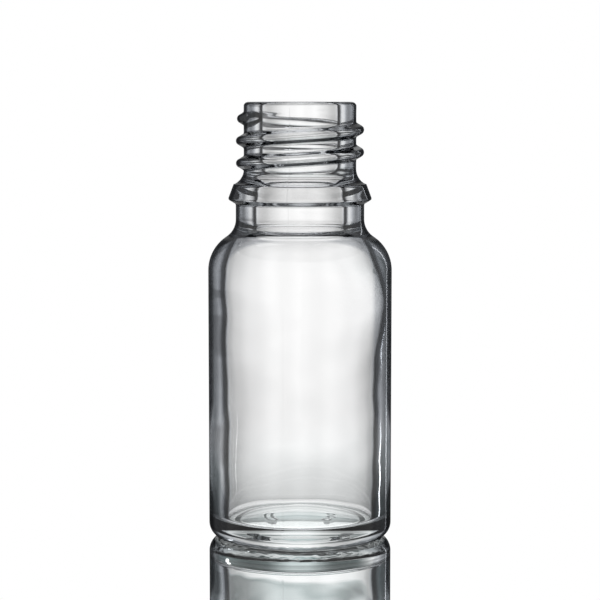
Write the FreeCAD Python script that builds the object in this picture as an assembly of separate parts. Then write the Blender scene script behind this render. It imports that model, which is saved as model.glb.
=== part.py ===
import FreeCAD, Part
from math import cos, degrees, pi, radians, sin, sqrt
import os

# Moulded glass dropper bottle, 10 ml, one piece of clear glass.
# Millimetres, +Z up, origin at the centre of the ring the bottle stands on, -Y towards the viewer.

# Overall size
overall_height = 59.0
body_diameter = 24.8

# Glass thickness
wall_thickness = 2.3
floor_thickness = 2.5

# Base: rounded heel, flat standing ring, a step up to a shallow dome
heel_radius = 2.0
standing_ring_width = 1.8
standing_ring_edge_radius = 0.3
push_up_step_width = 0.5
push_up_step_height = 0.5
push_up_dome_radius = 66.0

# Body cavity: narrow ledge under the neck, rounded shoulder, wall, small fillet at the floor
floor_fillet_radius = 0.6
cavity_shoulder_bend = 5.9
cavity_ledge_drop = 1.97
cavity_ledge_width = 1.15
cavity_ledge_slope = 0.07
cavity_ledge_bend = 0.35

# Shoulder and the plain neck above it
shoulder_bend = 5.4
shoulder_neck_bend = 2.9
neck_height = 2.0
neck_step = 1.05

# Locking ring that a tamper-evident cap snaps over
ring_projection = 2.1
ring_height = 2.0
ring_taper = 0.75
ring_underside_slope = 0.65
ring_edge_radius = 0.3
ring_root_radius = 0.3
flare_height = 2.05

# Finish: core of the screw neck, its bore and its rim
core_diameter = 15.2
throat_diameter = 10.4
throat_depth = 8.4
throat_bend = 2.0
throat_step = 0.9
rim_outer_radius = 0.7
rim_inner_radius = 0.45

# Single-start right-hand thread, rounded as glass is, fading out at both ends
thread_pitch = 3.0
thread_turns = 2.26
thread_height = 1.05
thread_crest_radius = 0.6
thread_flank_angle = 30.0
thread_foot_depth = 0.3
thread_start_drop = 2.0
thread_start_angle = 206.0
thread_run_out_angle = 42.0
thread_clearance_below = 0.2
thread_sections_per_turn = 24

# Raised mould marks on the underside: a curved bar and a row of dots
mark_relief = 0.35
mark_width = 0.9
mark_circle_radius = 4.2
bar_mark_angle = 192.0
bar_mark_span = 46.0
dot_mark_angle = -12.0
dot_mark_spacing = 22.0
dot_mark_count = 3

# Radii and heights that follow from the driving dimensions
body_radius = body_diameter / 2
core_radius = core_diameter / 2
throat_radius = throat_diameter / 2
neck_radius = core_radius + neck_step
ring_radius = core_radius + ring_projection
cavity_radius = body_radius - wall_thickness
cavity_neck_radius = throat_radius + throat_step

standing_ring_outer = body_radius - heel_radius
standing_ring_inner = standing_ring_outer - standing_ring_width
push_up_radius = standing_ring_inner - push_up_step_width

core_length = thread_start_drop + thread_pitch * thread_turns + thread_clearance_below
flare_top = overall_height - core_length
ring_top = flare_top - flare_height
ring_bottom = ring_top - ring_height
neck_top = ring_bottom - ring_underside_slope
neck_bottom = neck_top - neck_height

dome_sagitta = push_up_dome_radius - sqrt(push_up_dome_radius ** 2 - push_up_radius ** 2)
dome_top = push_up_step_height + dome_sagitta
dome_centre = dome_top - push_up_dome_radius


def at(radius, height):
    """A point of the section, which lies in the XZ plane."""
    return FreeCAD.Vector(radius, 0, height)


def line(start, end):
    return Part.LineSegment(start, end).toShape()


def arc(start, centre, end):
    """The shorter arc about centre from start to end."""
    half_way = (start - centre).normalize() + (end - centre).normalize()
    middle = centre + half_way.normalize() * (start - centre).Length
    return Part.Arc(start, middle, end).toShape()


def rounded_path(corners):
    """Straight edges through (point, corner radius) pairs, joined by tangent arcs at the corners."""
    edges = []
    reached = corners[0][0]
    for (before, _), (corner, radius), (after, _) in zip(corners, corners[1:], corners[2:]):
        back = (before - corner).normalize()
        ahead = (after - corner).normalize()
        half_angle = back.getAngle(ahead) / 2
        arc_start = corner + back * (radius * cos(half_angle) / sin(half_angle))
        arc_end = corner + ahead * (radius * cos(half_angle) / sin(half_angle))
        centre = corner + (back + ahead).normalize() * (radius / sin(half_angle))
        edges += [line(reached, arc_start), arc(arc_start, centre, arc_end)]
        reached = arc_end
    return edges + [line(reached, corners[-1][0])]


def bend_rise(lower_radius, lower_bend, upper_radius, upper_bend):
    """Height of a double bend: two arcs that meet in a tangent and end upright."""
    reach = lower_bend + upper_bend
    return sqrt(reach ** 2 - (reach - (lower_radius - upper_radius)) ** 2)


def double_bend(lower_radius, lower_bend, upper_radius, upper_bend, top):
    """The two arcs of a double bend, from the wide lower wall up to the narrow upper one."""
    bottom = top - bend_rise(lower_radius, lower_bend, upper_radius, upper_bend)
    lower_centre = at(lower_radius - lower_bend, bottom)
    upper_centre = at(upper_radius + upper_bend, top)
    meeting = lower_centre + (upper_centre - lower_centre).normalize() * lower_bend
    return [
        arc(at(lower_radius, bottom), lower_centre, meeting),
        arc(meeting, upper_centre, at(upper_radius, top)),
    ]


# Outside of the glass

def underside():
    """Shallow dome, step, standing ring, heel and the body wall up to the shoulder."""
    shoulder_rise = bend_rise(body_radius, shoulder_bend, neck_radius, shoulder_neck_bend)
    dome = arc(at(0, dome_top), at(0, dome_centre), at(push_up_radius, push_up_step_height))
    return [dome] + rounded_path([
        (at(push_up_radius, push_up_step_height), 0),
        (at(standing_ring_inner, 0), standing_ring_edge_radius),
        (at(body_radius, 0), heel_radius),
        (at(body_radius, neck_bottom - shoulder_rise), 0),
    ])


def neck_and_ring():
    """Plain neck, the locking ring and the hollow flare that leads up to the screw core."""
    ring_top_radius = ring_radius - ring_taper
    flare_step = ring_top_radius - core_radius
    flare_bend = (flare_height ** 2 + flare_step ** 2) / (2 * flare_step)
    flare = arc(at(ring_top_radius, ring_top), at(core_radius + flare_bend, flare_top),
                at(core_radius, flare_top))
    return rounded_path([
        (at(neck_radius, neck_bottom), 0),
        (at(neck_radius, neck_top), ring_root_radius),
        (at(ring_radius, ring_bottom), ring_edge_radius),
        (at(ring_top_radius, ring_top), 0),
    ]) + [flare]


def screw_neck_and_rim():
    """Core of the screw neck, over the rounded rim and down the bore of the throat."""
    return rounded_path([
        (at(core_radius, flare_top), 0),
        (at(core_radius, overall_height), rim_outer_radius),
        (at(throat_radius, overall_height), rim_inner_radius),
        (at(throat_radius, overall_height - throat_depth), 0),
    ])


# Inside of the glass

def cavity_outline():
    """From the foot of the throat down the neck, the inner shoulder, the wall and the domed floor."""
    throat_bottom = overall_height - throat_depth
    throat_rise = bend_rise(cavity_neck_radius, throat_bend, throat_radius, throat_bend)
    ledge_corner = at(cavity_neck_radius, neck_bottom - cavity_ledge_drop)
    ledge_end = ledge_corner + at(cavity_ledge_width, -cavity_ledge_slope)

    shoulder_x = cavity_radius - cavity_shoulder_bend
    shoulder_z = ledge_end.z - sqrt(cavity_shoulder_bend ** 2 - (ledge_end.x - shoulder_x) ** 2)

    floor_radius = push_up_dome_radius + floor_thickness
    fillet_x = cavity_radius - floor_fillet_radius
    fillet_z = dome_centre + sqrt((floor_radius + floor_fillet_radius) ** 2 - fillet_x ** 2)
    floor_centre = at(0, dome_centre)
    fillet_centre = at(fillet_x, fillet_z)
    floor_edge = floor_centre + (fillet_centre - floor_centre).normalize() * floor_radius

    throat_flare = double_bend(cavity_neck_radius, throat_bend, throat_radius, throat_bend,
                               throat_bottom)
    neck_and_ledge = rounded_path([
        (at(cavity_neck_radius, throat_bottom - throat_rise), 0),
        (ledge_corner, cavity_ledge_bend),
        (ledge_end, 0),
    ])
    return throat_flare[::-1] + neck_and_ledge + [
        arc(ledge_end, at(shoulder_x, shoulder_z), at(cavity_radius, shoulder_z)),
        line(at(cavity_radius, shoulder_z), at(cavity_radius, fillet_z)),
        arc(at(cavity_radius, fillet_z), fillet_centre, floor_edge),
        arc(floor_edge, floor_centre, at(0, dome_top + floor_thickness)),
        line(at(0, dome_top + floor_thickness), at(0, dome_top)),
    ]


def glass_wall():
    """The section of the glass, turned once about the bottle's axis."""
    shoulder = double_bend(body_radius, shoulder_bend, neck_radius, shoulder_neck_bend, neck_bottom)
    outline = underside() + shoulder + neck_and_ring() + screw_neck_and_rim() + cavity_outline()
    section = Part.Face(Part.Wire(Part.__sortEdges__(outline)))
    return section.revolve(FreeCAD.Vector(0, 0, 0), FreeCAD.Vector(0, 0, 1), 360)


# Screw thread

def thread_section(share):
    """Ridge section about its foot: two flanks and a round crest, scaled by its share of the height."""
    flank = radians(thread_flank_angle)
    crest_centre = thread_foot_depth + thread_height - thread_crest_radius
    touch_out = crest_centre + thread_crest_radius * sin(flank)
    touch_half = thread_crest_radius * cos(flank)
    foot_half = touch_half + touch_out * sin(flank) / cos(flank)
    foot = core_radius - thread_foot_depth

    def scaled(out, up):
        return at(foot + out * share, up * share)

    lower_foot, upper_foot = scaled(0, -foot_half), scaled(0, foot_half)
    lower_touch, upper_touch = scaled(touch_out, -touch_half), scaled(touch_out, touch_half)
    crest = scaled(thread_foot_depth + thread_height, 0)
    return Part.Wire([
        line(lower_foot, lower_touch),
        Part.Arc(lower_touch, crest, upper_touch).toShape(),
        line(upper_touch, upper_foot),
        line(upper_foot, lower_foot),
    ])


def thread_ridge():
    """Sections set along a falling helix, lofted half a turn at a time; each end sinks into the core."""
    full_angle = 360.0 * thread_turns
    steps = round(thread_sections_per_turn * thread_turns)
    sunk_share = 0.6 * thread_foot_depth / (thread_foot_depth + thread_height)
    sections = []
    for step in range(steps + 1):
        turned = full_angle * step / steps
        from_end = min(turned, full_angle - turned, thread_run_out_angle) / thread_run_out_angle
        share = sunk_share + (1 - sunk_share) * sin(from_end * pi / 2)
        height = overall_height - thread_start_drop - thread_pitch * turned / 360.0
        section = thread_section(share)
        section.translate(FreeCAD.Vector(0, 0, height))
        section.rotate(FreeCAD.Vector(0, 0, 0), FreeCAD.Vector(0, 0, 1), thread_start_angle - turned)
        sections.append(section)
    half_turn = thread_sections_per_turn // 2
    return [
        Part.makeLoft(sections[first:first + half_turn + 1], True, False)
        for first in range(0, steps, half_turn)
    ]


# Mould marks under the base

def mark_prism(outline_face, mark_radius):
    """A mark pulled down out of the dome by the relief, with its root inside the glass."""
    dome_height = dome_centre + sqrt(push_up_dome_radius ** 2 - mark_radius ** 2)
    prism = outline_face.extrude(FreeCAD.Vector(0, 0, mark_relief + floor_thickness / 2))
    prism.translate(FreeCAD.Vector(0, 0, dome_height - mark_relief))
    return prism


def curved_bar(radius, width, middle_angle, span):
    """Flat band along a circle, with round ends."""
    def polar(distance, angle):
        return FreeCAD.Vector(distance * cos(radians(angle)), distance * sin(radians(angle)), 0)

    first, last = middle_angle - span / 2, middle_angle + span / 2
    end_reach = degrees(width / 2 / radius)
    inner, outer = radius - width / 2, radius + width / 2
    edges = [
        Part.Arc(polar(outer, first), polar(outer, middle_angle), polar(outer, last)).toShape(),
        Part.Arc(polar(outer, last), polar(radius, last + end_reach), polar(inner, last)).toShape(),
        Part.Arc(polar(inner, last), polar(inner, middle_angle), polar(inner, first)).toShape(),
        Part.Arc(polar(inner, first), polar(radius, first - end_reach), polar(outer, first)).toShape(),
    ]
    return Part.Face(Part.Wire(edges))


def mould_marks():
    bar = curved_bar(mark_circle_radius, mark_width, bar_mark_angle, bar_mark_span)
    marks = [mark_prism(bar, mark_circle_radius)]
    for number in range(dot_mark_count):
        angle = radians(dot_mark_angle + dot_mark_spacing * (number - (dot_mark_count - 1) / 2))
        centre = FreeCAD.Vector(mark_circle_radius * cos(angle), mark_circle_radius * sin(angle), 0)
        disc = Part.Face(Part.Wire(Part.makeCircle(mark_width / 2, centre)))
        marks.append(mark_prism(disc, mark_circle_radius))
    return marks


def bottle():
    return glass_wall().fuse(thread_ridge() + mould_marks()).removeSplitter()


os.makedirs("parts", exist_ok=True)
shape = bottle()
shape.exportStep("parts/bottle.step")
print("bottle: valid", shape.isValid(), "solids", len(shape.Solids),
      "glass", round(shape.Volume / 1000, 2), "ml")
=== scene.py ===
from math import atan2, cos, hypot, pi, radians, sin, sqrt

import bpy
import numpy as np
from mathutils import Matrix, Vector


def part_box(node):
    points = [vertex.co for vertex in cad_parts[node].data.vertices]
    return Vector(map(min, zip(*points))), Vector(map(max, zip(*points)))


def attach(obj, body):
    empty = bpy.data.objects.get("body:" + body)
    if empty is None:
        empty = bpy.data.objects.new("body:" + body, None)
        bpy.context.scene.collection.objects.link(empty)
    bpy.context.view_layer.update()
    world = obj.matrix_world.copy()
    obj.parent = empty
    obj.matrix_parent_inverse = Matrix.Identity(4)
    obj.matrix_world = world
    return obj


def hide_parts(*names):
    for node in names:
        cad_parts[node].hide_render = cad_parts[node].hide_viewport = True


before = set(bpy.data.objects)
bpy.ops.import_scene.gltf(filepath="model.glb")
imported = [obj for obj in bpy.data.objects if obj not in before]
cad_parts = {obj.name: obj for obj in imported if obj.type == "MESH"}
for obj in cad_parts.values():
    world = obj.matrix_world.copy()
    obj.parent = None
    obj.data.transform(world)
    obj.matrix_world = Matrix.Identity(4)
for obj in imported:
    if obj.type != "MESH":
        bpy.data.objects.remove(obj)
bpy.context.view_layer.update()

# Camera. A long lens stands 27 cm in front of the bottle, level with its rim, and looks a little
# down. The photograph is cropped low, so the lens axis lies just under the middle of the picture.
mm = 0.001
lens_length = 121.3
sensor_width = 36.0
camera_distance = 272.5 * mm
camera_height = 58.4 * mm
camera_pitch = radians(6.0)
lens_axis_shift = (0.0, 0.0313)
nearest_seen = 10 * mm

camera_data = bpy.data.cameras.new("photo_camera")
camera_data.sensor_width = sensor_width
camera_data.lens = lens_length
camera_data.shift_x, camera_data.shift_y = lens_axis_shift
camera_data.clip_start = nearest_seen
camera = bpy.data.objects.new("photo_camera", camera_data)
camera.location = (0, -camera_distance, camera_height)
camera.rotation_euler = (pi / 2 - camera_pitch, 0, 0)
bpy.context.scene.collection.objects.link(camera)
bpy.context.scene.camera = camera


# Bottle, section of the glass. The real bottle is one piece of clear glass, blown in a two-part
# mould. Its section is drawn as arcs and straight runs, from the middle of the underside over the
# rim to the middle of the floor inside.
low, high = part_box("bottle")
overall_height = high[2] - low[2]
body_radius = -low[0]
wall_thickness = 2.3 * mm
floor_thickness = 2.5 * mm
heel_radius = 2.0 * mm
standing_ring_width = 1.8 * mm
push_up_step = 0.5 * mm
dome_radius = 66.0 * mm
fine_dome_span = (3.3 * mm, 5.1 * mm)

core_radius = 7.6 * mm
throat_radius = 5.2 * mm
neck_radius = core_radius + 1.05 * mm
ring_radius = core_radius + 2.1 * mm
ring_top_radius = ring_radius - 0.75 * mm
neck_cavity_radius = throat_radius + 0.9 * mm
cavity_radius = body_radius - wall_thickness
ledge_radius = 7.25 * mm

flare_top = overall_height - 8.98 * mm
ring_top = flare_top - 2.05 * mm
ring_bottom = ring_top - 2.0 * mm
neck_top = ring_bottom - 0.65 * mm
neck_bottom = neck_top - 2.0 * mm
throat_bottom = overall_height - 8.4 * mm
ledge_height_at_neck = 41.35 * mm
ledge_height_at_shoulder = 41.28 * mm

shoulder_bend = 5.4 * mm
neck_bend = 2.9 * mm
throat_bend = 2 * mm
inner_shoulder_bend = 5.9 * mm
edge_round = 0.3 * mm
rim_round = 0.7 * mm
lip_round = 0.45 * mm
ledge_round = 0.35 * mm
floor_fillet = 0.6 * mm


def straight(start, end, steps):
    """Points from start up to, but without, end: start plus equal shares of the way to end."""
    share = np.arange(steps)[:, None] / steps
    return np.array(start) * (1 - share) + np.array(end) * share


def arc(start, centre, end, steps):
    """Points on the shorter arc about centre from start up to, but without, end.

    The centre plus the radius times the cosine and sine of angles in equal steps."""
    first = atan2(start[1] - centre[1], start[0] - centre[0])
    last = atan2(end[1] - centre[1], end[0] - centre[0])
    turn = (last - first + pi) % (2 * pi) - pi
    angle = first + turn * np.arange(steps) / steps
    radius = hypot(start[0] - centre[0], start[1] - centre[1])
    return np.stack([centre[0] + radius * np.cos(angle), centre[1] + radius * np.sin(angle)], axis=1)


def rounded_corner(before, corner, after, radius, steps):
    """The arc of that radius that touches both sides of a corner, and the point where it ends.

    Its centre lies on the bisector, the radius over the sine of the half angle from the corner."""
    corner = np.array(corner, float)
    back = np.array(before) - corner
    ahead = np.array(after) - corner
    back /= hypot(*back)
    ahead /= hypot(*ahead)
    half_angle = np.arccos(np.clip(back @ ahead, -1, 1)) / 2
    centre = corner + (back + ahead) / hypot(*(back + ahead)) * radius / np.sin(half_angle)
    reach = radius / np.tan(half_angle)
    return arc(corner + back * reach, centre, corner + ahead * reach, steps), corner + ahead * reach


def double_bend(lower_radius, lower_bend, upper_radius, upper_bend, top, steps):
    """Two arcs that meet in a tangent, from the wide lower wall to the narrow upper one.

    The centres lie the sum of both bends apart, so the height between them follows from Pythagoras."""
    reach = lower_bend + upper_bend
    bottom = top - sqrt(reach ** 2 - (reach - (lower_radius - upper_radius)) ** 2)
    lower_centre = np.array([lower_radius - lower_bend, bottom])
    upper_centre = np.array([upper_radius + upper_bend, top])
    meeting = lower_centre + (upper_centre - lower_centre) * lower_bend / reach
    lower = arc((lower_radius, bottom), lower_centre, meeting, steps)
    upper = arc(meeting, upper_centre, (upper_radius, top), steps)
    return np.concatenate([lower, upper, [[upper_radius, top]]])


def outside_section():
    """Underside, heel, wall, shoulder, neck, locking ring, screw core and rim, bottom to top."""
    standing_outer = body_radius - heel_radius
    standing_inner = standing_outer - standing_ring_width
    dome_edge = (standing_inner - push_up_step, push_up_step)
    dome_centre = (0, push_up_step - sqrt(dome_radius ** 2 - dome_edge[0] ** 2))
    dome_top = (0, dome_centre[1] + dome_radius)

    fine_start, fine_end = [
        (x, dome_centre[1] + sqrt(dome_radius ** 2 - x ** 2)) for x in fine_dome_span]
    dome = np.concatenate([
        arc(dome_top, dome_centre, fine_start, 6),
        arc(fine_start, dome_centre, fine_end, 24),
        arc(fine_end, dome_centre, dome_edge, 10),
    ])
    step_edge, step_end = rounded_corner(dome_edge, (standing_inner, 0), (standing_outer, 0),
                                         edge_round, 5)
    heel = arc((standing_outer, 0), (standing_outer, heel_radius), (body_radius, heel_radius), 14)
    shoulder = double_bend(body_radius, shoulder_bend, neck_radius, neck_bend, neck_bottom, 18)
    root, root_end = rounded_corner((neck_radius, neck_bottom), (neck_radius, neck_top),
                                    (ring_radius, ring_bottom), edge_round, 5)
    edge, edge_end = rounded_corner((neck_radius, neck_top), (ring_radius, ring_bottom),
                                    (ring_top_radius, ring_top), edge_round, 7)
    flare_step = ring_top_radius - core_radius
    flare_bend = ((flare_top - ring_top) ** 2 + flare_step ** 2) / (2 * flare_step)
    flare = arc((ring_top_radius, ring_top), (core_radius + flare_bend, flare_top),
                (core_radius, flare_top), 14)
    rim_start = (core_radius, overall_height - rim_round)
    rim_top = (core_radius - rim_round, overall_height)
    rim = arc(rim_start, (rim_top[0], rim_start[1]), rim_top, 9)
    return np.concatenate([
        dome,
        straight(dome_edge, step_edge[0], 4), step_edge,
        straight(step_end, (standing_outer, 0), 4), heel,
        straight((body_radius, heel_radius), shoulder[0], 26), shoulder,
        straight(shoulder[-1], root[0], 7)[1:], root,
        straight(root_end, edge[0], 3), edge,
        straight(edge_end, (ring_top_radius, ring_top), 6), flare,
        straight((core_radius, flare_top), rim_start, 80), rim,
        [rim_top],
    ])


def inside_section():
    """Throat, neck, shoulder, wall, fillet and domed floor, top to bottom."""
    lip_start = (throat_radius + lip_round, overall_height)
    throat_top = (throat_radius, overall_height - lip_round)
    lip_arc = arc(lip_start, (lip_start[0], throat_top[1]), throat_top, 7)
    throat_flare = double_bend(neck_cavity_radius, throat_bend, throat_radius, throat_bend,
                               throat_bottom, 9)[::-1]
    ledge_start = (neck_cavity_radius, ledge_height_at_neck)
    ledge_end = (ledge_radius, ledge_height_at_shoulder)
    ledge_bend, ledge_flat = rounded_corner((neck_cavity_radius, throat_bottom), ledge_start, ledge_end,
                                            ledge_round, 5)
    shoulder_x = cavity_radius - inner_shoulder_bend
    shoulder_height = ledge_end[1] - sqrt(inner_shoulder_bend ** 2 - (ledge_end[0] - shoulder_x) ** 2)
    shoulder_arc = arc(ledge_end, (shoulder_x, shoulder_height), (cavity_radius, shoulder_height), 30)

    dome_edge_radius = body_radius - heel_radius - standing_ring_width - push_up_step
    dome_centre = np.array([0, push_up_step - sqrt(dome_radius ** 2 - dome_edge_radius ** 2)])
    floor_radius = dome_radius + floor_thickness
    fillet_x = cavity_radius - floor_fillet
    fillet_z = dome_centre[1] + sqrt((floor_radius + floor_fillet) ** 2 - fillet_x ** 2)
    fillet_centre = np.array([fillet_x, fillet_z])
    floor_edge = dome_centre + (fillet_centre - dome_centre) * floor_radius / (floor_radius + floor_fillet)
    floor_top = (0, dome_centre[1] + floor_radius)
    return np.concatenate([
        lip_arc,
        straight(throat_top, throat_flare[0], 24), throat_flare,
        straight(throat_flare[-1], ledge_bend[0], 10)[1:], ledge_bend,
        straight(ledge_flat, ledge_end, 4), shoulder_arc,
        straight((cavity_radius, shoulder_height), (cavity_radius, fillet_z), 30),
        arc((cavity_radius, fillet_z), fillet_centre, floor_edge, 14),
        arc(floor_edge, dome_centre, floor_top, 20),
        [floor_top],
    ])


# Bottle, screw thread. One rounded ridge winds down the neck right-handed, a little over two turns,
# and fades into the core at both ends, as a moulded glass thread does.
thread_pitch = 3.0 * mm
thread_turns = 2.26
thread_height = 1.05 * mm
thread_crest_bend = 0.6 * mm
thread_flank = radians(30)
thread_start = radians(206)
thread_start_height = overall_height - 2.0 * mm
thread_run_out = radians(42)
thread_end_depth = 0.1 * mm
thread_ceiling = overall_height - 0.5 * mm
thread_root_blend = 0.10 * mm


def ridge_profile(away):
    """Height of the ridge over its core at a distance up or down from its crest line.

    A circle of the crest's radius, carried on by its tangents at the flank angle."""
    touch = thread_crest_bend * cos(thread_flank)
    crest = thread_height - thread_crest_bend + np.sqrt(
        np.maximum(thread_crest_bend ** 2 - np.minimum(away, touch) ** 2, 0))
    return crest - np.maximum(away - touch, 0) / np.tan(thread_flank)


def thread_lift(angle, height):
    """How far the thread stands out of the core: the highest of the turns that pass each point.

    The crest falls by one pitch a turn from the start, and each end sinks over the run-out as a
    sine, to a little under the core."""
    lift = np.full(np.broadcast(angle, height).shape, -thread_height)
    for turn in range(-1, 4):
        turned = (thread_start - angle) % (2 * pi) + 2 * pi * turn
        crest_height = thread_start_height - thread_pitch * turned / (2 * pi)
        from_end = np.clip(np.minimum(turned, 2 * pi * thread_turns - turned) / thread_run_out, 0, 1)
        sunk = (1 - np.sin(from_end * pi / 2)) * (thread_height + thread_end_depth)
        lift = np.maximum(lift, ridge_profile(np.abs(height - crest_height)) - sunk)
    return lift


def smooth_greater(first, second, blend):
    """The greater of two heights, with the crease between them rounded over the blend.

    Half of their sum plus the root of their squared difference and the squared blend, less half
    the blend."""
    return (first + second + np.sqrt((first - second) ** 2 + blend ** 2)) / 2 - blend / 2


# Bottle, mould marks. A curved bar and three dots of the same glass stand out under the base. They
# are cut into the base plate of the mould, and their sides slope, so that the bottle lifts off it.
mark_relief = 0.35 * mm
mark_half_width = 0.45 * mm
mark_circle = 4.2 * mm
mark_slope = 0.34 * mm
bar_middle, bar_half_span = radians(192), radians(23)
dot_angles = [radians(-34), radians(-12), radians(10)]


def mark_depth(x, y):
    """How far the marks hang under the dome: full inside each outline, with sloped sides.

    A smooth step of the distance from the nearest outline, which is a half width away from a short
    arc for the bar and from a point for each dot."""
    angle = np.arctan2(y, x)
    along = np.abs((angle - bar_middle + pi) % (2 * pi) - pi)
    past_end = np.maximum(along - bar_half_span, 0) * mark_circle
    outside = np.hypot(np.hypot(x, y) - mark_circle, past_end) - mark_half_width
    for dot in dot_angles:
        from_dot = np.hypot(x - mark_circle * cos(dot), y - mark_circle * sin(dot))
        outside = np.minimum(outside, from_dot - mark_half_width)
    inside = np.clip(0.5 - outside / mark_slope, 0, 1)
    return mark_relief * inside ** 2 * (3 - 2 * inside)


# Bottle, the glass surface. The section is turned about the axis in steps, the thread, marks and
# mould seams are added, and the inner wall gets the gentle unevenness of blown glass.
seam_angle = radians(-101)
seam_height = 0.025 * mm
seam_half_width = 0.12 * mm
seam_columns = np.array([-1.6, -0.8, 0.0, 0.8, 1.6]) * radians(0.9)
seam_clearance = radians(1.2)
even_columns = 220


def column_angles():
    """Even steps round the bottle, with more of them beside the two mould seams."""
    even = np.linspace(0, 2 * pi, even_columns, endpoint=False)
    seams = np.concatenate([seam_angle + seam_columns, seam_angle + pi + seam_columns]) % (2 * pi)
    near_seam = np.abs(((even - seam_angle) + pi / 2) % pi - pi / 2) < seam_clearance
    return np.sort(np.concatenate([even[~near_seam], seams]))


def lathe(section, angle):
    """Radius and height of every row and column: each point of the section is repeated all round."""
    radius = np.repeat(section[:, :1], len(angle), axis=1)
    height = np.repeat(section[:, 1:], len(angle), axis=1)
    return radius, height


angle = column_angles()
outside, inside = outside_section(), inside_section()
outer_radius, outer_height = lathe(outside, angle)
inner_radius, inner_height = lathe(inside, angle)

on_neck = (outer_height > ring_top) & (outer_height < thread_ceiling)
lift = smooth_greater(outer_radius, core_radius + thread_lift(angle, outer_height), thread_root_blend)
outer_radius = np.where(on_neck, lift, outer_radius)


def seam_lift(angle, radius):
    """The low ridge where the halves of the mould met: a cosine hump at two opposite angles."""
    away = np.abs(((angle - seam_angle) + pi / 2) % pi - pi / 2) * radius / seam_half_width
    return seam_height * (0.5 + 0.5 * np.cos(pi * np.minimum(away, 1)))


along_seam = (outer_height > heel_radius) & (outer_height < overall_height - rim_round)
outer_radius = np.where(along_seam, outer_radius + seam_lift(angle, outer_radius), outer_radius)

# each bulge of the inner wall: its angle and height, how far it reaches out, and its spread both ways
bulges = [
    (radians(0), 31.8 * mm, 0.95 * mm, radians(42), 4.3 * mm),
    (radians(5), 14.0 * mm, 0.10 * mm, radians(60), 7.0 * mm),
    (radians(0), 39.8 * mm, -0.45 * mm, radians(50), 1.9 * mm),
    (radians(180), 25.8 * mm, 0.15 * mm, radians(38), 3.4 * mm),
    (radians(180), 34.0 * mm, 0.28 * mm, radians(40), 2.6 * mm),
    (radians(185), 18.0 * mm, -0.10 * mm, radians(45), 3.8 * mm),
    (radians(80), 22.0 * mm, 0.18 * mm, radians(50), 7.0 * mm),
    (radians(265), 28.0 * mm, 0.12 * mm, radians(45), 6.0 * mm),
]
# each slight wave: how far it reaches, how many go round, how it slants and swells with height, its phase
waves = [
    (0.030 * mm, 3, 2.1 * mm, 3.4 * mm, 0.6),
    (0.018 * mm, 7, -1.3 * mm, 1.9 * mm, 0.0),
]
wave_floor, floor_blend = 4.2 * mm, 4 * mm
wave_ceiling, ceiling_blend = 42.5 * mm, 6 * mm


def uneven_wall(angle, height):
    """How far the inner wall lies outside its mean radius.

    A sum of bell-shaped bulges and of waves, each a cosine round and up times a cosine of height.
    It fades to nothing at the floor and below the neck."""
    swell = np.zeros(np.broadcast(angle, height).shape)
    for centre, middle, reach, spread, rise in bulges:
        away = (angle - centre + pi) % (2 * pi) - pi
        swell += reach * np.exp(-(away / spread) ** 2 / 2 - ((height - middle) / rise) ** 2 / 2)
    for reach, count, slant, rise, phase in waves:
        swell += reach * np.cos(count * angle + height / slant) * np.cos(height / rise + phase)
    above_floor = np.clip((height - wave_floor) / floor_blend, 0, 1)
    below_neck = np.clip((wave_ceiling - height) / ceiling_blend, 0, 1)
    return swell * above_floor ** 2 * (3 - 2 * above_floor) * below_neck ** 2 * (3 - 2 * below_neck)


inner_radius = inner_radius + uneven_wall(angle, inner_height) * (inner_radius > cavity_radius / 2)

# the bearing edge of the heel is finely ribbed, as on most moulded bottles
knurl_depth = 0.06 * mm
knurl_height = 1.1 * mm
knurl_margin = 0.1 * mm
underside_top = 1.2 * mm


def knurl(angle, height):
    """The depth of the fine ribs: cosines of 46 and of 31 ribs round, spaced unevenly by slow sines.

    The sum is scaled to run from 0 to 1, and fades with the square of what is left of the height."""
    strong = np.cos(46 * angle + 1.3 * np.sin(3 * angle))
    weak = 0.6 * np.cos(31 * angle + 2.0 * np.sin(2 * angle + 1))
    ribs = strong + weak
    return knurl_depth * (1.6 + ribs) / 3.2 * np.clip(1 - height / knurl_height, 0, 1) ** 2


heel_start = body_radius - heel_radius - knurl_margin
on_heel = (outer_radius > heel_start) & (outer_height < heel_radius)
outer_radius = np.where(on_heel, outer_radius - knurl(angle, outer_height), outer_radius)
underside = outer_height < underside_top
x, y = outer_radius * np.cos(angle), outer_radius * np.sin(angle)
outer_height = np.where(underside, outer_height - mark_depth(x, y), outer_height)

rows = np.concatenate([outer_radius, inner_radius])
heights = np.concatenate([outer_height, inner_height])


def closed_skin(radius, height, angle):
    """Vertices and faces: rows joined by quads round the axis, with one point at each pole.

    A vertex is its radius times the cosine and sine of its angle, at its height."""
    count = len(angle)
    ring_radii, ring_heights = radius[1:-1], height[1:-1]
    points = np.stack([ring_radii * np.cos(angle), ring_radii * np.sin(angle), ring_heights], axis=-1)
    points = points.reshape(-1, 3)
    points = np.concatenate([points, [[0, 0, height[0].mean()], [0, 0, height[-1].mean()]]])
    row_start = np.arange(len(ring_radii) - 1)[:, None] * count
    here = np.arange(count)[None, :]
    after = (here + 1) % count
    quads = np.stack([row_start + here, row_start + after, row_start + count + after,
                      row_start + count + here], axis=-1).reshape(-1, 4)
    first_pole, last_pole = len(points) - 2, len(points) - 1
    last_row = (len(ring_radii) - 1) * count
    here, after = np.arange(count), (np.arange(count) + 1) % count
    first_fan = np.stack([after, here, np.full(count, first_pole)], axis=-1)
    last_fan = np.stack([last_row + here, last_row + after, np.full(count, last_pole)], axis=-1)
    return points, quads.tolist() + first_fan.tolist() + last_fan.tolist()


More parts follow.
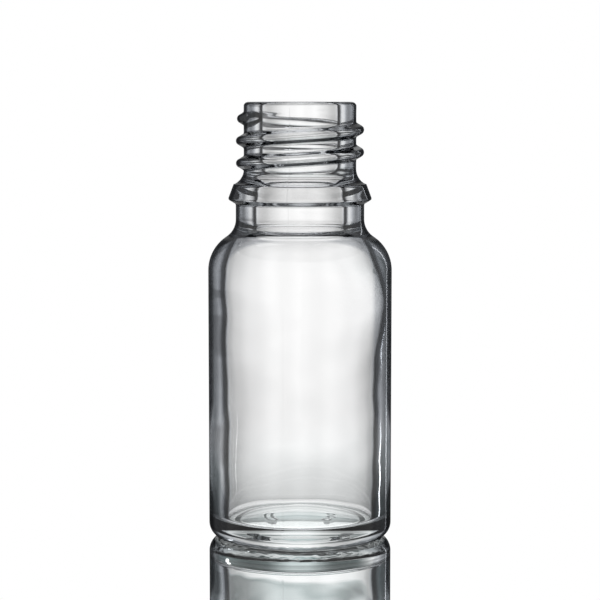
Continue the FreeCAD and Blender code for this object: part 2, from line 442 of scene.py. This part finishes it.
points, faces = closed_skin(rows, heights, angle)
glass_mesh = bpy.data.meshes.new("glass_bottle")
glass_mesh.from_pydata(points.tolist(), [], faces)
glass_mesh.shade_smooth()
glass_mesh.update()
bottle = bpy.data.objects.new("glass_bottle", glass_mesh)
bpy.context.scene.collection.objects.link(bottle)
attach(bottle, "root")
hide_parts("bottle")


# Bottle, clear glass. Flint glass lets the light straight through. Its colour is darkened as painted shade
# where a face is met at a low angle, as at the edges of the wall, in place of the dark room seen there.
# Level faces near the base, such as the floor, are left clear of it, the steep sides of the mould marks
# get a dark painted shade, and the bearing edge is finely rippled.
def add_node(tree, kind, inputs=None, **settings):
    """A new shader node: settings go to its properties, and inputs to its sockets.

    An input is a plain value, or another node's output, which is then linked to the socket."""
    node = tree.nodes.new("ShaderNode" + kind)
    for name, value in settings.items():
        setattr(node, name, value)
    for name, value in (inputs or {}).items():
        if isinstance(value, bpy.types.NodeSocket):
            tree.links.new(value, node.inputs[name])
        else:
            node.inputs[name].default_value = value
    return node


def calculate(tree, operation, first, second=0.0):
    """One step of arithmetic on two numbers or outputs."""
    return add_node(tree, "Math", {0: first, 1: second}, operation=operation).outputs[0]


def run(tree, value, span, ends=(0.0, 1.0), soft=False):
    """A number that goes from one end to the other while the value crosses the span."""
    sockets = {"Value": value, "From Min": span[0], "From Max": span[1],
               "To Min": ends[0], "To Max": ends[1]}
    kind = "SMOOTHSTEP" if soft else "LINEAR"
    return add_node(tree, "MapRange", sockets, interpolation_type=kind).outputs["Result"]


def color_ramp(tree, value, stops):
    """The colour between the two nearest stops, each of them a place from 0 to 1 and a colour."""
    ramp = add_node(tree, "ValToRGB", {"Fac": value})
    elements = ramp.color_ramp.elements
    while len(elements) < len(stops):
        elements.new(0.5)
    for element, (place, color) in zip(elements, stops):
        element.position = place
        element.color = color
    return ramp.outputs["Color"]


def mixed_color(tree, share, first, second):
    """The first colour, or the second where the share is 1."""
    sockets = {"Factor": share, "A": first, "B": second}
    return add_node(tree, "Mix", sockets, data_type="RGBA").outputs["Result"]


cool_green = 0.06
cool_blue = 0.16


def cool_greys(stops):
    """Stops of grey that are a little greener and bluer between black and white.

    Each of the two colours gets its share of grey times one minus grey on top."""
    return [(place, (grey, grey + cool_green * grey * (1 - grey), grey + cool_blue * grey * (1 - grey), 1))
            for place, grey in stops]


def empty_material(name):
    """A new material with no nodes, and its node tree."""
    material = bpy.data.materials.new(name)
    material.use_nodes = True
    material.node_tree.nodes.clear()
    return material, material.node_tree


glass_index = 1.52
level_glass = (0.97, 0.98, 0.98, 1)
# a dark painted shade for the steep sides of the mould marks
mark_side_painted_shade = (0.16, 0.17, 0.18, 1)
shadow_color = (0.90, 0.92, 0.92, 1)
# the heights between which the low wall starts and ends, and the neck starts
low_wall_start = (5 * mm, 9 * mm)
low_wall_end = (14 * mm, 20 * mm)
neck_start = (neck_bottom - 3 * mm, neck_bottom + 1 * mm)
near_base_span = (6 * mm, 9 * mm)
level_span = (0.75, 0.97)
# the marks lie under the base and within the standing ring, and their sides are steeper than the dome
under_base_span = (1.3 * mm, 2.0 * mm)
marks_span = (6.5 * mm, 7.0 * mm)
mark_side_span = (0.82, 0.985)
ripple_scale = 1100.0
ripple_stretch = (1, 1, 2.2)
ripple_depth = 0.12 * mm
rippled_from_axis = (8.7 * mm, 9.2 * mm)
rippled_heights = (0.1 * mm, 1.4 * mm)


def clear_glass(name, from_air, from_within, low_factor, neck_factor, level_above, rippled):
    """Glass whose colour falls, as painted shade, with the angle at which a face is met, from the air and
    from within.

    The low wall and the neck darken sooner by their factors, or later where a factor is below 1.
    Level faces are clear near the base, and keep a share of that above it."""
    material, tree = empty_material(name)
    facing = add_node(tree, "LayerWeight", {"Blend": 0.5}).outputs["Facing"]
    place = add_node(tree, "TexCoord").outputs["Object"]
    height = add_node(tree, "SeparateXYZ", {0: place}).outputs["Z"]
    flattened = add_node(tree, "VectorMath", {0: place, 1: (1, 1, 0)}, operation="MULTIPLY").outputs[0]
    from_axis = add_node(tree, "VectorMath", {0: flattened}, operation="LENGTH").outputs["Value"]
    surface = add_node(tree, "NewGeometry").outputs
    upright = add_node(tree, "SeparateXYZ", {0: surface["Normal"]}).outputs["Z"]
    levelness = calculate(tree, "ABSOLUTE", upright)

    on_wall = run(tree, height, low_wall_start, (1.0, low_factor), soft=True)
    on_wall = run(tree, height, low_wall_end, (on_wall, 1.0), soft=True)
    sooner = run(tree, height, neck_start, (on_wall, neck_factor), soft=True)
    # painted shade: the glass colour gets darker the more a face is grazed, from the air and from within
    air_painted_shade = color_ramp(tree, calculate(tree, "MULTIPLY", facing, sooner), cool_greys(from_air))
    within_painted_shade = color_ramp(tree, facing, cool_greys(from_within))
    color = mixed_color(tree, surface["Backfacing"], air_painted_shade, within_painted_shade)

    near_base = run(tree, height, near_base_span, (1.0, level_above))
    level_share = calculate(tree, "MULTIPLY", run(tree, levelness, level_span), near_base)
    color = mixed_color(tree, level_share, color, level_glass)
    # painted shade: the steep sides of the mould marks under the base are turned dark grey
    under_base = run(tree, height, under_base_span, (1.0, 0.0))
    among_marks = run(tree, from_axis, marks_span, (under_base, 0.0))
    mark_side = run(tree, levelness, mark_side_span, (among_marks, 0.0))
    color = mixed_color(tree, mark_side, color, mark_side_painted_shade)

    glass = add_node(tree, "BsdfGlass", {"Color": color, "Roughness": 0.0, "IOR": glass_index})
    if rippled:
        stretched = add_node(tree, "VectorMath", {0: place, 1: ripple_stretch}, operation="MULTIPLY")
        scales = add_node(tree, "TexVoronoi", {"Vector": stretched.outputs[0], "Scale": ripple_scale},
                          feature="SMOOTH_F1")
        on_edge = run(tree, from_axis, rippled_from_axis)
        strength = run(tree, height, rippled_heights, (on_edge, 0.0), soft=True)
        ripples = add_node(tree, "Bump", {"Strength": strength, "Distance": ripple_depth,
                                          "Height": scales.outputs["Distance"]})
        tree.links.new(ripples.outputs["Normal"], glass.inputs["Normal"])
    see_through = add_node(tree, "BsdfTransparent", {"Color": shadow_color})
    for_shadow = add_node(tree, "LightPath").outputs["Is Shadow Ray"]
    shader = add_node(tree, "MixShader", {0: for_shadow, 1: glass.outputs[0], 2: see_through.outputs[0]})
    add_node(tree, "OutputMaterial", {"Surface": shader.outputs[0]})
    return material


# painted shade on each side of the glass, as pairs of facing and grey: facing is 0 where a face is met
# straight on and 1 where it is grazed
outside_air = [(0.0, 1.0), (0.38, 0.95), (0.41, 0.80), (0.44, 0.60), (0.50, 0.55), (0.56, 0.38),
               (0.65, 0.30), (0.70, 0.12), (0.76, 0.05), (1.0, 0.05)]
outside_within = [(0.0, 1.0), (0.245, 1.0), (0.26, 0.25), (0.62, 0.25), (0.72, 0.90), (1.0, 1.0)]
inside_air = [(0.0, 1.0), (0.50, 0.98), (0.66, 0.88), (0.73, 0.60), (0.765, 0.10), (0.80, 0.02),
              (1.0, 0.01)]
inside_within = [(0.0, 1.0), (0.218, 1.0), (0.229, 0.85), (0.237, 0.05), (0.260, 0.05),
                 (0.272, 0.35), (0.29, 0.78), (1.0, 0.78)]
glass_mesh.materials.append(clear_glass(
    "clear_glass", outside_air, outside_within,
    low_factor=0.80, neck_factor=1.05, level_above=0.4, rippled=True))
glass_mesh.materials.append(clear_glass(
    "clear_glass_inside", inside_air, inside_within,
    low_factor=1.0, neck_factor=1.0, level_above=0.0, rippled=False))
# the quads come first, row by row from the underside on, then the two fans of the poles
inner_first = (len(outside) - 1) * len(angle)
material_of_face = np.zeros(len(faces), dtype=np.int32)
material_of_face[inner_first:-2 * len(angle)] = 1
material_of_face[-len(angle):] = 1
glass_mesh.polygons.foreach_set("material_index", material_of_face)


# Table. A pale acrylic top, polished so that it mirrors the bottle at a low angle. It fades into the white
# background. Its glow is painted light, a little brighter under the base, with a painted shadow round the
# standing ring, and its mirror is darkened beside the bottle by painted shade.
table_rings = [10 * mm, 20 * mm, 50 * mm, 120 * mm]
table_columns = 96
table_color = (0.9, 0.9, 0.9, 1)
fade_span = (45 * mm, 110 * mm)
mirror_angles = (0.25, 0.75)
mirror_strengths = (0.04, 1.0)
shade_reach = 75 * mm
side_span = (3 * mm, 10 * mm)
mirror_starts = (9.0 * mm, 9.8 * mm)


def table_top():
    """A flat disc round the bottle: a point, and rings of radius times cosine and sine."""
    ring = np.array(table_rings)
    turn = np.linspace(0, 2 * pi, table_columns, endpoint=False)
    x, y = ring[:, None] * np.cos(turn), ring[:, None] * np.sin(turn)
    points = np.stack([x, y, np.zeros_like(x)], axis=-1).reshape(-1, 3).tolist() + [[0, 0, 0]]
    here = np.arange(table_columns)
    after = (here + 1) % table_columns
    start = np.arange(len(ring) - 1)[:, None] * table_columns
    quads = np.stack([start + here, start + table_columns + here,
                      start + table_columns + after, start + after], axis=-1).reshape(-1, 4)
    fan = np.stack([here, after, np.full(table_columns, len(points) - 1)], axis=-1)
    return points, quads.tolist() + fan.tolist()


table_points, table_faces = table_top()
table_mesh = bpy.data.meshes.new("table")
table_mesh.from_pydata(table_points, [], table_faces)
table = bpy.data.objects.new("table", table_mesh)
bpy.context.scene.collection.objects.link(table)


def greys(stops):
    """Stops of plain grey."""
    return [(place, (grey, grey, grey, 1)) for place, grey in stops]


# painted shade of the mirror, and the strength of the top's glow with its painted light and shadow, by
# distance from the axis: pairs of a share of the shade's reach and a grey
# painted shadow of the bottle on the mirror: a soft ring beyond the base, and darker beside it
soft_shade = [(0.0, 1.0), (0.20, 1.0), (0.27, 0.60), (0.30, 0.58), (1.0, 1.0)]
side_shade = [(0.0, 1.0), (0.105, 1.0), (0.116, 0.35), (0.17, 0.35), (0.29, 1.0), (1.0, 1.0)]
# the glow is painted light a little brighter under the base, with a painted shadow round the standing ring
top_glow = [(0.0, 0.90), (0.108, 0.90), (0.116, 0.12), (0.139, 0.12), (0.15, 0.80), (1.0, 0.80)]

table_material, tree = empty_material("pale_table")
place = add_node(tree, "TexCoord").outputs["Object"]
distance = add_node(tree, "VectorMath", {0: place}, operation="LENGTH").outputs["Value"]
reach_share = calculate(tree, "DIVIDE", distance, shade_reach)
aside = calculate(tree, "ABSOLUTE", add_node(tree, "SeparateXYZ", {0: place}).outputs["X"])
# painted shade of the mirror near the bottle, left off for camera rays
beside_base = color_ramp(tree, reach_share, greys(side_shade))
shade = calculate(tree, "MULTIPLY", color_ramp(tree, reach_share, greys(soft_shade)),
                  run(tree, aside, side_span, (1.0, beside_base), soft=True))
shade = calculate(tree, "MAXIMUM", shade, add_node(tree, "LightPath").outputs["Is Camera Ray"])
# painted light and painted shadow in the glow of the top, by distance from the axis
glow_strength = color_ramp(tree, reach_share, greys(top_glow))
pale = add_node(tree, "BsdfDiffuse", {"Color": table_color})
glow = add_node(tree, "Emission", {"Strength": glow_strength})
top = add_node(tree, "AddShader", {0: pale.outputs[0], 1: glow.outputs[0]})
mirror = add_node(tree, "BsdfAnisotropic", {"Color": shade, "Roughness": 0.0})
facing = add_node(tree, "LayerWeight", {"Blend": 0.5}).outputs["Facing"]
mirror_share = calculate(tree, "MULTIPLY", run(tree, facing, mirror_angles, mirror_strengths, soft=True),
                         run(tree, distance, mirror_starts))
polished = add_node(tree, "MixShader", {0: mirror_share, 1: top.outputs[0], 2: mirror.outputs[0]})
nothing = add_node(tree, "BsdfTransparent")
faded = add_node(tree, "MixShader", {0: run(tree, distance, fade_span, soft=True),
                                     1: polished.outputs[0], 2: nothing.outputs[0]})
add_node(tree, "OutputMaterial", {"Surface": faded.outputs[0]})
table_mesh.materials.append(table_material)


# Light. A pale room with eight bright panels round it lights the bottle, and its ceiling is dim.
# The camera, and the table's mirror of what stands behind the bottle, see plain white instead.
white = (1, 1, 1, 1)
panels = 8.0
panel_phase = radians(1.5)
panel_greys = [(0.0, 0.50), (0.9, 1.0)]
mirror_ceiling = 0.62
# places by height run from 0, straight down, over 0.5, level with the bottle, to 1, straight up;
# places round the room are shares of half a turn, with 0 behind the bottle
room_heights = [(0.0, 0.8, 1.0), (0.38, 0.8, 1.0), (0.44, 1.0, 1.0), (0.51, 1.0, 1.0), (0.6075, 1.0, 0.98),
                (0.66, 0.72, 0.97), (0.745, 0.60, 0.97), (0.765, 0.12, 0.92), (0.85, 0.08, 1.0),
                (0.9, 0.4, 1.0), (1.0, 0.4, 1.0)]
# a dim greenish band behind the bottle, a little above level: it shows only straight through the
# glass, and is darkest beside the middle of the backdrop
band_heights = [(0.0, 1.0, 1.0), (0.6075, 1.0, 1.0), (0.61, 0.52, 0.87), (0.6135, 0.52, 0.87),
                (0.617, 0.72, 0.92), (0.633, 0.88, 0.93), (0.66, 1.0, 1.0), (1.0, 1.0, 1.0)]
band_span = (0.16, 0.25)
middle_places = [(0.0, 1.0), (0.02, 1.0), (0.09, 0.0), (1.0, 0.0)]
beside_heights = [(0.0, 1.0), (0.610, 1.0), (0.614, 0.35), (0.618, 0.45), (0.628, 0.60), (0.65, 1.0),
                  (1.0, 1.0)]
# a darker band a little below level on the left, seen in the wall of the bottle
left_wall_heights = [(0.0, 1.0), (0.415, 1.0), (0.428, 0.5), (0.465, 0.5), (0.475, 1.0), (1.0, 1.0)]
# light that has been mirrored twice or more on its way through the glass: dim and greenish, by its
# place round the room, behind the bottle and, between two angles in radians, on the right
twice_mirrored_colors = [(0.0, (0.62, 0.70, 0.70, 1)), (0.02, (0.62, 0.70, 0.70, 1)),
                         (0.08, (0.17, 0.21, 0.21, 1)), (1.0, (0.17, 0.21, 0.21, 1))]
twice_mirrored_top = 0.3
right_start = (0.25, 0.35)
right_end = (0.95, 1.2)


def reddish(stops):
    """Stops of grey whose red is a share of the grey."""
    return [(place, (grey * red, grey, grey, 1)) for place, grey, red in stops]


def product(tree, first, second):
    """Two colours multiplied."""
    sockets = {"Factor": 1.0, "A": first, "B": second}
    return add_node(tree, "Mix", sockets, data_type="RGBA", blend_type="MULTIPLY").outputs["Result"]


def from_minus_one(tree, value):
    """A share from 0 to 1 for a number from -1 to 1."""
    return add_node(tree, "Math", {0: value, 1: 0.5, 2: 0.5}, operation="MULTIPLY_ADD").outputs[0]


def above(tree, value, limit):
    """1 where the value is above the limit, and 0 elsewhere."""
    return calculate(tree, "GREATER_THAN", value, limit)


def below(tree, value, limit):
    """1 where the value is below the limit, and 0 elsewhere."""
    return calculate(tree, "LESS_THAN", value, limit)


def where_all(tree, first, *others):
    """The product of shares, which is 1 only where each of them is 1."""
    for share in others:
        first = calculate(tree, "MULTIPLY", first, share)
    return first


world = bpy.data.worlds.new("studio")
bpy.context.scene.world = world
world.use_nodes = True
tree = world.node_tree
direction = add_node(tree, "SeparateXYZ", {0: add_node(tree, "TexCoord").outputs["Generated"]}).outputs
path = add_node(tree, "LightPath").outputs
height_share = from_minus_one(tree, direction["Z"])
round_angle = calculate(tree, "ARCTAN2", direction["X"], direction["Y"])
half_turn_share = calculate(tree, "DIVIDE", calculate(tree, "ABSOLUTE", round_angle), pi)

turned = calculate(tree, "MULTIPLY", calculate(tree, "SUBTRACT", round_angle, panel_phase), panels)
wave_share = from_minus_one(tree, calculate(tree, "COSINE", turned))
room = product(tree, color_ramp(tree, wave_share, greys(panel_greys)),
               color_ramp(tree, height_share, reddish(room_heights)))

off_middle = calculate(tree, "MAXIMUM", color_ramp(tree, half_turn_share, greys(middle_places)),
                       color_ramp(tree, height_share, greys(beside_heights)))
band = product(tree, color_ramp(tree, height_share, reddish(band_heights)), off_middle)
near_backdrop = run(tree, half_turn_share, band_span, (1.0, 0.0))
in_band = where_all(tree, path["Is Transmission Ray"], near_backdrop)
room = product(tree, room, mixed_color(tree, in_band, white, band))

in_left_wall = where_all(tree, path["Is Transmission Ray"], above(tree, path["Glossy Depth"], 0.5),
                         below(tree, direction["Z"], 0.0), below(tree, round_angle, 0.0))
left_wall = color_ramp(tree, height_share, greys(left_wall_heights))
room = product(tree, room, mixed_color(tree, in_left_wall, white, left_wall))

on_right = where_all(tree, run(tree, round_angle, right_start),
                     run(tree, round_angle, right_end, (1.0, 0.0)))
behind_or_right = calculate(tree, "MAXIMUM", near_backdrop, on_right)
twice = where_all(tree, path["Is Glossy Ray"], above(tree, path["Glossy Depth"], 1.5),
                  above(tree, path["Transmission Depth"], 0.5), behind_or_right,
                  below(tree, direction["Z"], twice_mirrored_top))
twice_mirrored = color_ramp(tree, half_turn_share, twice_mirrored_colors)
room = product(tree, room, mixed_color(tree, twice, white, twice_mirrored))

not_transmitted = calculate(tree, "SUBTRACT", 1.0, path["Is Transmission Ray"])
mirrored = where_all(tree, path["Is Glossy Ray"], not_transmitted,
                     below(tree, path["Transmission Depth"], 0.5),
                     below(tree, direction["Z"], mirror_ceiling))
white_share = calculate(tree, "MAXIMUM", path["Is Camera Ray"], mirrored)
tree.links.new(mixed_color(tree, white_share, room, white), tree.nodes["Background"].inputs["Color"])


def area_lamp(name, width, depth, power, place, turn):
    """A rectangular lamp of that size and power in watts, at its place, turned by the three angles."""
    data = bpy.data.lights.new(name, "AREA")
    data.shape = "RECTANGLE"
    data.size, data.size_y = width, depth
    data.energy = power
    lamp = bpy.data.objects.new(name, data)
    lamp.location = place
    lamp.rotation_euler = turn
    bpy.context.scene.collection.objects.link(lamp)
    return lamp


area_lamp("overhead_softbox", width=0.5, depth=0.35, power=1.0, place=(-0.1, 0.25, 0.7),
          turn=(radians(20), radians(-8), 0))

# the upright strip lamp stands behind the bottle on the right, and shows only as a line on the glass
strip_way = radians(41)
strip_distance = 0.6
strip_place = (strip_distance * sin(strip_way), strip_distance * cos(strip_way), 0.05)
strip = area_lamp("right_strip", width=0.03, depth=0.6, power=0.4, place=strip_place,
                  turn=(pi / 2, 0, pi - strip_way))
strip.visible_camera = False
strip.visible_transmission = False

bpy.context.scene.view_settings.view_transform = "Standard"
